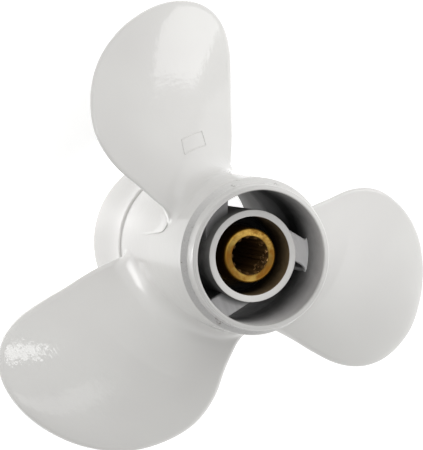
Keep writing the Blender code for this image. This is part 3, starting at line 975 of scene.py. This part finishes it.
# Softboxes: direction on the camera's right, up and toward axes, distance, size, roll in
# degrees, watts.
SOFTBOXES = {
    "key": ((0.950, 0.295, 0.1025), 1.2, (0.56, 0.43), -22.0, 1.56),
    "card": ((-0.07, 0.05, 0.99), 1.9, (0.45, 0.36), 0.0, 0.58),
    "strip": ((-0.068, 0.479, 0.875), 1.8, (0.22, 0.165), 35.6, 0.62),
}
# Glows of the dome: direction on the same axes, power of the fall-off, strength.
DOME_GLOWS = (
    ((1.0, 0.0, 0.0), 3.0, 0.66),
    ((-1.0, 0.0, 0.0), 3.0, 1.50),
    ((0.0, 0.0, 1.0), 3.0, 0.60),
    ((0.7, 0.7, 0.1), 4.0, 0.92),
    ((0.7, -0.7, 0.1), 4.0, 1.78),
    ((-0.7, 0.7, 0.1), 4.0, 0.67),
    ((0.0, 0.6, 0.8), 5.0, 0.96),
)
# The lit floor: its even glow, then oval patches of place, half length and width, turn in
# degrees, power of the fall-off, strength.
FLOOR_GLOW = 0.30
FLOOR_GLOWS = (
    ((0.0, 0.0), (69 * MM, 69 * MM), 0.0, 6.0, 0.78),
    ((-215 * MM, 98 * MM), (105 * MM, 38 * MM), 149.0, 6.0, 4.7),
    ((95 * MM, 45 * MM), (100 * MM, 100 * MM), 0.0, 2.0, -0.16),
    ((-48 * MM, 44 * MM), (14 * MM, 14 * MM), 0.0, 2.0, 0.50),
)


def from_camera_axes(direction):
    return (right * direction[0] + up * direction[1] + toward * direction[2]).normalized()


def make_camera():
    data = bpy.data.cameras.new("camera")
    data.sensor_width = SENSOR
    data.lens = SENSOR * FOCAL_PIXELS / IMAGE_HEIGHT
    data.clip_start = 0.05
    camera = link(bpy.data.objects.new("camera", data))
    turn = Matrix((right, up, toward)).transposed()
    camera.matrix_world = Matrix.Translation(CAMERA_PLACE) @ turn.to_4x4()
    bpy.context.scene.camera = camera


def softbox(name, direction, distance, size, roll, watts):
    """An area light on the camera's right, up and toward axes, aimed at the part.

    Its size is its width across and its height along the camera's up, before it is rolled.
    """
    away = from_camera_axes(direction)
    across = (up - away * up.dot(away)).normalized().cross(away)
    across = Matrix.Rotation(math.radians(roll), 3, away) @ across
    data = bpy.data.lights.new(name, "AREA")
    data.shape = "RECTANGLE"
    data.size, data.size_y = size
    data.energy = watts
    light = link(bpy.data.objects.new(name, data))
    turn = Matrix((across, away.cross(across), away)).transposed()
    light.matrix_world = Matrix.Translation(away * distance) @ turn.to_4x4()


def make_floor():
    floor_size = 80.0
    corner = floor_size / 2
    mesh = bpy.data.meshes.new("studio_floor")
    mesh.from_pydata([(-corner, -corner, 0), (corner, -corner, 0), (corner, corner, 0),
                      (-corner, corner, 0)], [], [(0, 1, 2, 3)])
    floor = link(bpy.data.objects.new("studio_floor", mesh))
    floor.location.z = REAR
    s = Shader("floor_white")
    s.set("Base Color", (0.90, 0.90, 0.90, 1.0))
    s.set("Roughness", 0.9)
    s.set("Emission Color", (1.0, 1.0, 1.0, 1.0))
    total = FLOOR_GLOW
    for place, (length, width), turn, power, strength in FLOOR_GLOWS:
        oval = s.node("ShaderNodeMapping", {
            "Vector": s.place, "Location": (*place, 0.0), "Scale": (length, width, 1.0),
            "Rotation": (0.0, 0.0, math.radians(turn))}, vector_type="TEXTURE")
        spot = s.node("ShaderNodeVectorMath", {0: oval.outputs["Vector"]}, operation="LENGTH")
        reach = s.maths("POWER", spot.outputs["Value"], power)
        fall = s.maths("EXPONENT", s.maths("MULTIPLY", reach, -1.0))
        total = s.maths("ADD", total, s.maths("MULTIPLY", fall, strength))
    s.set("Emission Strength", total)
    mesh.materials.append(s.material)


def make_world():
    """A studio dome lit by wide soft glows, each fading with the angle from its direction."""
    world = bpy.data.worlds.new("studio")
    world.use_nodes = True
    tree = world.node_tree
    background = tree.nodes["Background"]
    background.inputs["Color"].default_value = (1.0, 1.0, 1.0, 1.0)
    ray = tree.nodes.new("ShaderNodeTexCoord").outputs["Generated"]

    def maths(operation, a, b):
        made = tree.nodes.new("ShaderNodeMath")
        made.operation = operation
        for socket, value in zip(made.inputs, (a, b)):
            if isinstance(value, bpy.types.NodeSocket):
                tree.links.new(value, socket)
            else:
                socket.default_value = value
        return made.outputs[0]

    total = 0.0
    for direction, power, strength in DOME_GLOWS:
        dot = tree.nodes.new("ShaderNodeVectorMath")
        dot.operation = "DOT_PRODUCT"
        dot.inputs[1].default_value = from_camera_axes(direction)
        tree.links.new(ray, dot.inputs[0])
        facing = maths("POWER", maths("MAXIMUM", dot.outputs["Value"], 0.0), power)
        total = maths("ADD", total, maths("MULTIPLY", facing, strength))
    tree.links.new(total, background.inputs["Strength"])
    bpy.context.scene.world = world


def main():
    paint = paint_material()
    passage = passage_material("passage_cast", *BARREL_INSIDE)
    tube_side = passage_material("tube_cast", *TUBE_OUTSIDE)
    # Painted shade: the rim's paint falls off toward one side.
    rim_paint = paint_material("rim_paint", 1.02, RIM_SHADE_SIDE, (-0.95, -0.3), 0.79)
    barrel_skin(paint, land_material(), passage, rim_paint)
    ring_skin(paint, passage)
    # Painted light and shade: the recessed tube face is lightened overall and falls off toward one
    # side.
    tube_paint = paint_material("tube_paint", 1.06, TUBE_SHADE_SIDE, darkest=0.82)
    tube_skin(tube_paint, tube_side, bore_stain_material())
    rib_paint = rib_material()
    shape = blade_shape()
    for index in range(BLADE_COUNT):
        rib_skin(index, rib_paint)
        blade_skin(index, paint, shape)
        root_step_skin(index, paint)
    bead_skin(paint)
    bush_skin(rubber_material())
    sleeve_skin(brass_material(), bore_material())
    make_camera()
    make_floor()
    make_world()
    for name, settings in SOFTBOXES.items():
        softbox(name, *settings)
    bpy.context.scene.view_settings.view_transform = "Standard"


main()
